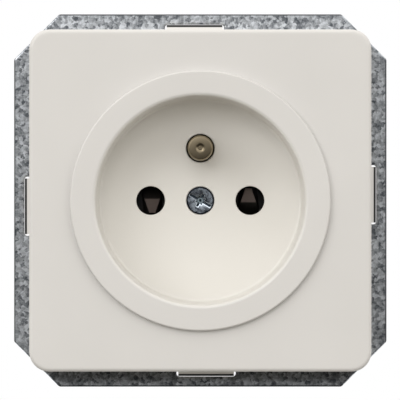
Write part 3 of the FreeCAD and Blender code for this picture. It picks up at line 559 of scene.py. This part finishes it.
def round_off(bm, geometry, radius, segments, affect):
    """Bevels corners or edges with a round of radius mm."""
    bmesh.ops.bevel(
        bm, geom=geometry, offset=radius * mm, offset_type="OFFSET", segments=segments, profile=0.5,
        affect=affect, material=-1,
    )


def turned(profile, soft=(), x=0.0, z=0.0, steps=96):
    """Spins corners (radius, y) in mm about an axis along Y; soft lists (corner, radius, segments)."""
    bm = bmesh.new()
    corners = [bm.verts.new(((x + radius) * mm, y * mm, z * mm)) for radius, y in profile]
    for pair in zip(corners, corners[1:]):
        bm.edges.new(pair)
    for number, radius, segments in soft:
        round_off(bm, [corners[number]], radius, segments, "VERTICES")
    bmesh.ops.spin(
        bm, geom=bm.verts[:] + bm.edges[:], cent=(x * mm, 0, z * mm), axis=(0, 1, 0), angle=math.tau,
        steps=steps, use_merge=True,
    )
    bmesh.ops.remove_doubles(bm, verts=bm.verts, dist=same_point)
    bmesh.ops.recalc_face_normals(bm, faces=bm.faces)
    return bm


def join(bm, *others):
    """Moves other bmeshes into this one."""
    for other in others:
        carrier = bpy.data.meshes.new("carrier")
        other.to_mesh(carrier)
        other.free()
        bm.from_mesh(carrier)
        bpy.data.meshes.remove(carrier)
    return bm


print("helpers", turned.__name__, join.__name__)

# %% [markdown]
# ## Flat areas
# Between its round rims the plate is flat. A face can't have a hole in it, so each flat area is filled
# with triangles between its rims. Every rim gets a narrow flat band first, so the shading stays level up
# to the edge.

# %% Flat areas
def lies_at(edge, y):
    """Whether both ends of an edge lie at the level y, in mm."""
    return all(abs(vert.co.y - y * mm) < 2 * same_point for vert in edge.verts)


def fill_level(bm, y, facing):
    """Fills the flat area between the open rims that lie at one level."""
    rims = [edge for edge in bm.edges if edge.is_boundary and lies_at(edge, y)]
    bmesh.ops.triangle_fill(bm, use_beauty=True, use_dissolve=False, edges=rims, normal=(0, facing, 0))


def rounded_square(side, corner, y, segments=10):
    """A flat square face with round corners."""
    bm = bmesh.new()
    half = side / 2 * mm
    signs = ((-1, -1), (1, -1), (1, 1), (-1, 1))
    corners = [bm.verts.new((right * half, y * mm, up * half)) for right, up in signs]
    bm.faces.new(corners)
    round_off(bm, corners, corner, segments, "VERTICES")
    return bm


def moved_verts(made):
    return [item for item in made["geom"] if isinstance(item, bmesh.types.BMVert)]


def raise_wall(bm, depth):
    """Extrudes the rim of the only face along Y; the face stays where it is."""
    made = bmesh.ops.extrude_edge_only(bm, edges=bm.edges[:])
    bmesh.ops.translate(bm, verts=moved_verts(made), vec=(0, depth * mm, 0))


def open_middle(bm, band):
    """Keeps a flat band along the rim of the largest face and takes the rest away."""
    face = max(bm.faces, key=lambda f: f.calc_area())
    bmesh.ops.inset_region(bm, faces=[face], thickness=band * mm, depth=0.0)
    face = max(bm.faces, key=lambda f: f.calc_area())
    bmesh.ops.delete(bm, geom=[face], context="FACES")


print("helpers", fill_level.__name__, rounded_square.__name__, open_middle.__name__)

# %% [markdown]
# ## Front plate: the tray
# The front plate is one moulding: a shallow tray with a soft front edge, a raised collar, and a round
# well with four holes in its floor. The tray could be a box with a bevel, but its corners are rounder
# than its edge. So it starts as a flat rounded square, its wall is extruded back, and its front edge is
# bevelled by itself. The inside is a second, smaller tray.

# %% Tray
plate_front, plate_back, plate_inside = -9.0, -1.0, -7.0
plate_side, plate_corner, front_round = 65.0, 3.8, 0.7
inside_side, inside_corner = 61.4, 2.0
flat_band = 0.5


def tray_outside():
    bm = rounded_square(plate_side, plate_corner, plate_front)
    raise_wall(bm, plate_back - plate_front)
    front = [edge for edge in bm.edges if lies_at(edge, plate_front)]
    round_off(bm, front, front_round, 6, "EDGES")
    open_middle(bm, flat_band)
    return bm


def tray_inside():
    bm = rounded_square(inside_side, inside_corner, plate_inside)
    raise_wall(bm, plate_back - plate_inside)
    open_middle(bm, flat_band)
    return bm


print("wall", (plate_side - inside_side) / 2, "mm")

# %% [markdown]
# ## Front plate: collar, well and holes
# Collar and well are one turned profile, from the plate over the collar and down into the well, so their
# rounds flow into each other. The holes in the floor are turned too: a narrow lip in front, then straight
# through. The middle one has a seat for the screw's head and a boss behind it.

# %% Collar, well and holes
collar_front, floor_front, floor_back = -10.2, 4.8, 7.0
collar_r, mouth_r, well_foot_r = 24.75, 19.9, 19.4
foot_round, mouth_round, collar_round = 0.6, 0.7, 0.35
well_back_r, well_back_foot_r, back_round = 21.4, 20.9, 1.0
head_seat, boss_back = 7.2, 8.5
hole_lip = 0.15


def collar_and_well():
    """From the plate over the collar to the floor. Like the others, it starts and ends with a flat band."""
    profile = [
        (collar_r + 0.85, plate_front), (collar_r, plate_front), (collar_r, collar_front),
        (mouth_r, collar_front), (well_foot_r, floor_front), (well_foot_r - 2.6, floor_front),
    ]
    return turned(profile, soft=[(4, foot_round, 8), (3, mouth_round, 6), (2, collar_round, 4)], steps=192)


def well_outside():
    """The back of the well's wall, from the plate's inside to the back of the floor."""
    profile = [
        (well_back_r + 0.8, plate_inside), (well_back_r, plate_inside), (well_back_foot_r, floor_back),
        (well_back_foot_r - 1.9, floor_back),
    ]
    return turned(profile, soft=[(2, back_round, 4)], steps=128)


def floor_hole(radius, x, z):
    """A hole right through the floor, with a narrow lip in front."""
    profile = [
        (radius + 0.8, floor_front), (radius + hole_lip, floor_front), (radius, floor_front + hole_lip),
        (radius, floor_back), (radius + 0.5, floor_back),
    ]
    return turned(profile, x=x, z=z, steps=64)


def screw_hole(seat_r=2.7, shank_hole_r=1.65, boss_r=4.0):
    """The hole for the middle screw, with a seat for its head and a boss behind."""
    profile = [
        (seat_r + 0.7, floor_front), (seat_r + hole_lip, floor_front), (seat_r, floor_front + hole_lip),
        (seat_r, head_seat), (shank_hole_r, head_seat), (shank_hole_r, boss_back), (boss_r, boss_back),
        (boss_r, floor_back), (boss_r + 0.6, floor_back),
    ]
    return turned(profile, steps=64)


print("well", floor_front - collar_front, "mm deep")

# %% [markdown]
# ## Front plate: tongues and ribs
# Four springy tongues hold the plate in the frame's slots, and ribs stiffen the tray from the well to its
# corners. A tongue is the same all along its side of the plate, so it is drawn as its side view, with the
# sloped bead, and extruded. A rib is a plain box. Both are made for one side and turned round the middle,
# so all four are alike.

# %% Latch tongues and ribs
tongue_start, tongue_length = -6.4, 10.6
tongue_face = 32.5
tongue_side_view = [
    (31.6, -3.4), (tongue_face, -3.4), (33.0, -2.9), (33.0, -0.5), (33.47, -0.3), (33.47, -0.05),
    (32.35, -0.05), (32.35, -1.0), (31.6, -1.0),
]
bead_round = 0.08
rib_length, rib_height, rib_width = 21.0, 3.2, 1.2
rib_middle, rib_sink = 31.6, 1.4


def latch_tongue(turn):
    """A springy tongue with a sloped bead; turn counts quarter turns."""
    bm = bmesh.new()
    side = [bm.verts.new((tongue_start * mm, y * mm, z * mm)) for z, y in tongue_side_view]
    made = bmesh.ops.extrude_face_region(bm, geom=[bm.faces.new(side)])
    bmesh.ops.translate(bm, verts=moved_verts(made), vec=(tongue_length * mm, 0, 0))
    bmesh.ops.recalc_face_normals(bm, faces=bm.faces)
    long_edges = [edge for edge in bm.edges if edge.calc_length() > 0.9 * tongue_length * mm]
    outer = [edge for edge in long_edges if edge.verts[0].co.z > tongue_face * mm]
    round_off(bm, outer, bead_round, 2, "EDGES")
    bmesh.ops.rotate(bm, verts=bm.verts, matrix=Matrix.Rotation(turn * math.pi / 2, 3, "Y"))
    return bm


def rib(turn):
    """A stiffening rib from the well to a corner of the tray, behind the plate."""
    bm = bmesh.new()
    size = Matrix.Diagonal((rib_length * mm, rib_height * mm, rib_width * mm, 1))
    place = Matrix.Translation((rib_middle * mm, (plate_inside + rib_sink) * mm, 0))
    bmesh.ops.create_cube(bm, size=1.0, matrix=place @ size)
    bmesh.ops.rotate(bm, verts=bm.verts, matrix=Matrix.Rotation(math.radians(45 + 90 * turn), 3, "Y"))
    return bm


print("tongue", tongue_length, "mm, rib", rib_length, "mm")

# %% [markdown]
# ## Front plate: joined
# The open shapes meet at five levels. Each level is filled between the rims that lie on it, which closes
# the mesh, as the count of open edges shows. A union by booleans would do the same with worse faces.
# Tongues and ribs are closed bodies that sink into the moulding.

# %% Front plate
contact_x, earth_up = 9.5, 10.0
contact_hole_r, earth_hole_r = 2.75, 2.7
plate = join(
    tray_outside(), tray_inside(), collar_and_well(), well_outside(), screw_hole(),
    floor_hole(contact_hole_r, contact_x, 0), floor_hole(contact_hole_r, -contact_x, 0),
    floor_hole(earth_hole_r, 0, earth_up),
)
for level, facing in (
    (plate_front, -1), (plate_back, 1), (plate_inside, 1), (floor_front, -1), (floor_back, 1),
):
    fill_level(plate, level, facing)
bmesh.ops.remove_doubles(plate, verts=plate.verts, dist=same_point)
bmesh.ops.recalc_face_normals(plate, faces=plate.faces)
print("open edges", sum(edge.is_boundary for edge in plate.edges))
join(plate, *[latch_tongue(turn) for turn in range(4)], *[rib(turn) for turn in range(4)])
finish_piece(plate, "front_plate", pearl_white, "cover_plate")

# %% [markdown]
# ## Earth pin
# A turned and nickel plated brass pin. Its tip has a small countersunk ring left by the lathe's centre,
# and a narrow chamfer. Behind the floor it gets thinner, and a flange and a riveted end hold it in the
# earth strap. A lathe made it from one profile, and so does the spin.

# %% Earth pin
pin_r, pin_tip, pin_foot = 2.4, -9.2, 4.75
tip_chamfer = 0.3
neck_r, neck_back = 2.0, 12.95
flange_r, flange_back = 4.0, 14.15
tail_r, tail_back = 1.9, 14.95
rivet_r, rivet_back = 2.6, 15.65
centre_mark = [(0, -8.96), (0.34, -8.96), (0.42, -8.90), (0.60, -8.94), (0.90, pin_tip)]
pin_profile = centre_mark + [
    (pin_r - tip_chamfer, pin_tip), (pin_r, pin_tip + tip_chamfer), (pin_r, pin_foot), (neck_r, pin_foot),
    (neck_r, neck_back), (flange_r, neck_back), (flange_r, flange_back), (tail_r, flange_back),
    (tail_r, tail_back), (rivet_r, tail_back), (rivet_r, rivet_back), (0, rivet_back),
]
pin_rounds = [(15, 0.3, 3), (11, 0.15, 2), (10, 0.15, 2), (6, 0.06, 2), (5, 0.05, 2)]
pin = turned(pin_profile, soft=pin_rounds, z=earth_up)
finish_piece(pin, "turned_earth_pin", pin_nickel, "earth_pin")

# %% [markdown]
# ## Screws: recess and thread
# All screws are zinc plated, with a slot and a cross in a cheese head. The driver recess is drawn as a
# star in the head's flat top: the slot, the shorter cross, and the notches between them. A bump could
# fake the thread, but its outline would stay straight. So it is one triangle, spun round the core while
# it climbs by the pitch, and its flanks catch the light as on a cut thread.

# %% Star and thread
def driver_star(slot_half, cross_half, half_width=0.42):
    """The outline of slot, cross and the small diagonal notches between them, as (x, z)."""
    corner = half_width * 2
    notch = corner + 0.1
    right_up = [
        (slot_half, half_width), (corner, half_width), (notch, notch), (half_width, corner),
        (half_width, cross_half),
    ]
    left_up = [(-x, z) for x, z in reversed(right_up)]
    return right_up + left_up + [(-x, -z) for x, z in right_up] + [(x, -z) for x, z in reversed(right_up)]


def thread(core, crest, start, end, pitch=0.5, steps_in_turn=24):
    """One triangular ridge that climbs round the core, closed at both ends."""
    bm = bmesh.new()
    foot_r, foot_width = core - 0.05, pitch * 0.98
    section = [(foot_r, start), (crest, start + pitch / 2), (foot_r, start + foot_width)]
    face = bm.faces.new([bm.verts.new((radius * mm, y * mm, 0)) for radius, y in section])
    turns = (end - start - pitch) / pitch
    steps = round(turns * steps_in_turn)
    bmesh.ops.spin(
        bm, geom=[face], cent=(0, 0, 0), axis=(0, 1, 0), dvec=(0, pitch / steps_in_turn * mm, 0),
        angle=math.tau * steps / steps_in_turn, steps=steps, use_merge=False,
    )
    bmesh.ops.recalc_face_normals(bm, faces=bm.faces)
    return bm


print("helpers", driver_star.__name__, thread.__name__)

# %% [markdown]
# ## Screws: the whole screw
# Head and shank are one turned profile that is open at the head's top. The top is filled round the star,
# and the star's face is pushed in twice: over a wide, shallow slope that mirrors the light, then steeply
# down to the bottom. Cutting the star out would leave its edges sharp, and a sharp edge draws no line of
# light.

# %% Screw helper
head_r, tall_head, low_head = 2.6, 1.9, 1.6
slope_width, slope_depth = 0.20, 0.06
flank_width = 0.05
head_round, top_band, slot_gap = 0.11, 0.12, 0.16
run_out, tip_length, thread_end = 0.1, 0.5, 0.45


def screw(head, length, shank_r=1.5, plain=0.0, cross_half=1.5, depth=0.75):
    """A screw along +Y with its head's underside at y = 0; plain is the length without thread."""
    core = shank_r * 0.83
    tip_r = core * 0.55
    profile = [
        (head_r - top_band, -head), (head_r, -head), (head_r, 0), (shank_r, 0), (shank_r, plain),
        (core, plain + run_out), (core, length - tip_length), (tip_r, length), (0, length),
    ]
    bm = turned(profile, soft=[(1, head_round, 3)], steps=64)
    outline = driver_star(head_r - slot_gap, cross_half)
    star = [bm.verts.new((x * mm, -head * mm, z * mm)) for x, z in outline]
    rim = [bm.edges.new(pair) for pair in zip(star, star[1:] + star[:1])]
    fill_from = [edge for edge in bm.edges if edge.is_boundary] + rim
    bmesh.ops.triangle_fill(bm, use_beauty=True, use_dissolve=False, edges=fill_from, normal=(0, -1, 0))
    recess = bm.faces.new(star)
    recess.normal_update()
    if recess.normal.y > 0:
        recess.normal_flip()
    for band, sink in ((slope_width, slope_depth), (flank_width, depth - slope_depth)):
        bmesh.ops.inset_region(
            bm, faces=[recess], thickness=band * mm, depth=-sink * mm, use_even_offset=True,
        )
    bmesh.ops.recalc_face_normals(bm, faces=bm.faces)
    return join(bm, thread(core, shank_r, plain + run_out, length - thread_end))


def placed(bm, x, y, z, quarter_turns_about_x=0, spin=0.0):
    """Turns a screw about its own axis, then about X, and moves it to its seat."""
    bmesh.ops.rotate(bm, verts=bm.verts, matrix=Matrix.Rotation(math.radians(spin), 3, "Y"))
    bmesh.ops.rotate(bm, verts=bm.verts, matrix=Matrix.Rotation(quarter_turns_about_x * math.pi / 2, 3, "X"))
    bmesh.ops.translate(bm, verts=bm.verts, vec=(x * mm, y * mm, z * mm))
    return bm


print("slope", round(math.degrees(math.atan(slope_depth / slope_width))), "degrees")

# %% [markdown]
# ## Screws: painted highlights and shade on the driven head
# The middle screw is the one that a screwdriver has been in. The slopes of its recess carry a painted
# highlight, and further down the recess is painted dark as shade. A painted highlight ring surrounds a
# middle painted dark as shade, and the head is darker round its rim. Such marks could be painted by
# hand. Here they lie at known levels and radii, so the place masks draw them, each one over those before
# it.

# %% Painted highlights and shade on the driven head
head_face = head_seat - tall_head
slope_foot = head_face + slope_depth
# Painted highlight on the slopes and ring, painted shade deeper down and in the middle; the rim darker.
for output, colour, place in (
    ("In Front", (0.85, 0.93, 1.0), {"Level": head_face + 0.01, "Blend": -0.02}),
    ("In Front", (0.10, 0.14, 0.19), {"Level": slope_foot + 0.02, "Blend": -0.03}),
    ("Inside", (0.75, 0.92, 1.0), {"Radius": 0.62, "Blend": 0.08}),
    ("Inside", (0.04, 0.06, 0.08), {"Radius": 0.30, "Blend": 0.08}),
    ("Inside", (0.03, 0.035, 0.05), {"Radius": head_r - 0.30, "Blend": -0.15}),
):
    lay_over(zinc_with_painted_light, output, colour, **place)
print("slopes from", round(head_face, 2), "to", round(slope_foot, 2), "mm")

# %% [markdown]
# ## Screws: in place
# The middle screw holds the front plate, its slot leaning as in the picture. Two long screws draw the
# wedge nuts of the claws, and one short screw clamps the wire in each terminal: from below for the
# contacts, from above for the earth. They could be copies of one mesh, but their lengths differ, so the
# helper makes each anew.

# %% Screws in place
claw_x, claw_head_seat = 24.6, -1.6
terminal_y, terminal_z, earth_terminal_z = 19.85, -18.8, 21.2
middle = placed(screw(tall_head, length=8.6, plain=1.5), 0, head_seat, 0, spin=30)
finish_piece(middle, "middle_screw", zinc_with_painted_light, "cover_screw")
for side, x in (("right", claw_x), ("left", -claw_x)):
    made = placed(screw(tall_head, length=21.0), x, claw_head_seat, 0)
    finish_piece(made, "long_screw_" + side, bright_zinc, "claw_screw_" + side)
for name, x, z, turn in (
    ("live", contact_x, terminal_z, 1), ("neutral", -contact_x, terminal_z, 1),
    ("earth", 0, earth_terminal_z, -1),
):
    made = placed(screw(low_head, length=4.6), x, terminal_y, z, quarter_turns_about_x=turn, spin=20)
    finish_piece(made, name + "_clamp_screw", bright_zinc, name + "_terminal_screw")

# %% [markdown]
# ## Pieces that keep their shape
# Sheet, wire, blocks and rivets have the right shape already. They could stay as they are, but a solid
# arrives as loose triangles, and each one would shade by itself. So a copy is merged and its flat areas
# are joined again. Then the flats shade level and the rounds shade round.

# %% Merged copies
flat_angle = 0.5


def merged_copy(name, material, rides=True):
    """A copy of a solid with its points merged and its flat areas joined."""
    bm = bmesh.new()
    bm.from_mesh(frame["nodes"][name].data)
    bmesh.ops.remove_doubles(bm, verts=bm.verts, dist=same_point / 2)
    bmesh.ops.dissolve_limit(
        bm, angle_limit=math.radians(flat_angle), verts=bm.verts, edges=bm.edges, delimit={"NORMAL"},
    )
    return finish_piece(bm, name + "_piece", material, name, rides)


for material, names in (
    (galvanised_zinc, ("support_frame", "earth_strap")),
    (dark_base, ("insert_base", "contact_cover")),
    (shutter_black, ("shutter",)),
    (drawn_brass, (
        "live_contact", "neutral_contact", "live_terminal", "neutral_terminal", "earth_terminal",
        "centre_bush", "strap_rivet",
    )),
    (spring_wire, ("shutter_clip",)),
    (zinc_claws, ("claw_right", "claw_left", "claw_nut_right", "claw_nut_left")),
    (bright_zinc, ("frame_rivets", "carrier_screws")),
):
    for name in names:
        merged_copy(name, material)

# %% [markdown]
# ## A spring that winds
# The shutter's torsion spring has its front end in the shutter and its back leg in the contact cover, so
# it winds when the shutter turns. Tied to one of them, it would cut through the other. So the copy rides
# on no body and stays where the model puts it.

# %% Shutter spring
spring = merged_copy("shutter_spring", spring_wire, rides=False)
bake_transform(spring)

# %% [markdown]
# ## The floor
# A plain pale floor lies under the socket, as in a studio. It would send light back up, but the lower
# strip of the frame is dark in the picture. So matt surfaces aren't lit by it and metal doesn't mirror
# it.

# %% Floor
def stage_plane(name, half_side, place, colour, roughness):
    """A square that isn't part of the object, with a plain paint."""
    bm = bmesh.new()
    bmesh.ops.create_grid(bm, x_segments=1, y_segments=1, size=half_side, matrix=place)
    mesh = bpy.data.meshes.new(name)
    bm.to_mesh(mesh)
    bm.free()
    plane = bpy.data.objects.new(name, mesh)
    scene.collection.objects.link(plane)
    paint = plain_finish(name + "_paint", colour, roughness)[0]
    mesh.materials.append(paint)
    return plane


floor_level, floor_half = -120.0 * mm, 1.2
floor_place = Matrix.Translation((0, 0, floor_level))
floor = stage_plane("floor", floor_half, floor_place, colour=(0.5, 0.5, 0.5), roughness=0.7)
floor.visible_diffuse = False
floor.visible_glossy = False
print("floor at", round(floor_level / mm), "mm")

# %% [markdown]
# ## A dark card
# In a white tent, zinc and nickel mirror white all over and look flat. Less light would darken the
# plastic too, so a photographer holds up a dark card instead. This one hangs in front of the socket, from
# a little above it far down, and only shiny surfaces see it. The frame's lower strip turns dark, its
# upper strip stays bright, and the middle screw gets its dark patches.

# %% Dark card
card_top, card_distance, card_half = 65.0 * mm, 0.5, 2.5
upright = Matrix.Rotation(math.radians(90), 4, "X")
card_place = Matrix.Translation((0, -card_distance, card_top - card_half)) @ upright
dark_card = stage_plane("dark_card", card_half, card_place, colour=(0.03, 0.03, 0.03), roughness=0.9)
dark_card.visible_camera = False
dark_card.visible_diffuse = False
dark_card.visible_transmission = False
dark_card.visible_shadow = False
print("card from", round(card_top / mm), "mm down")
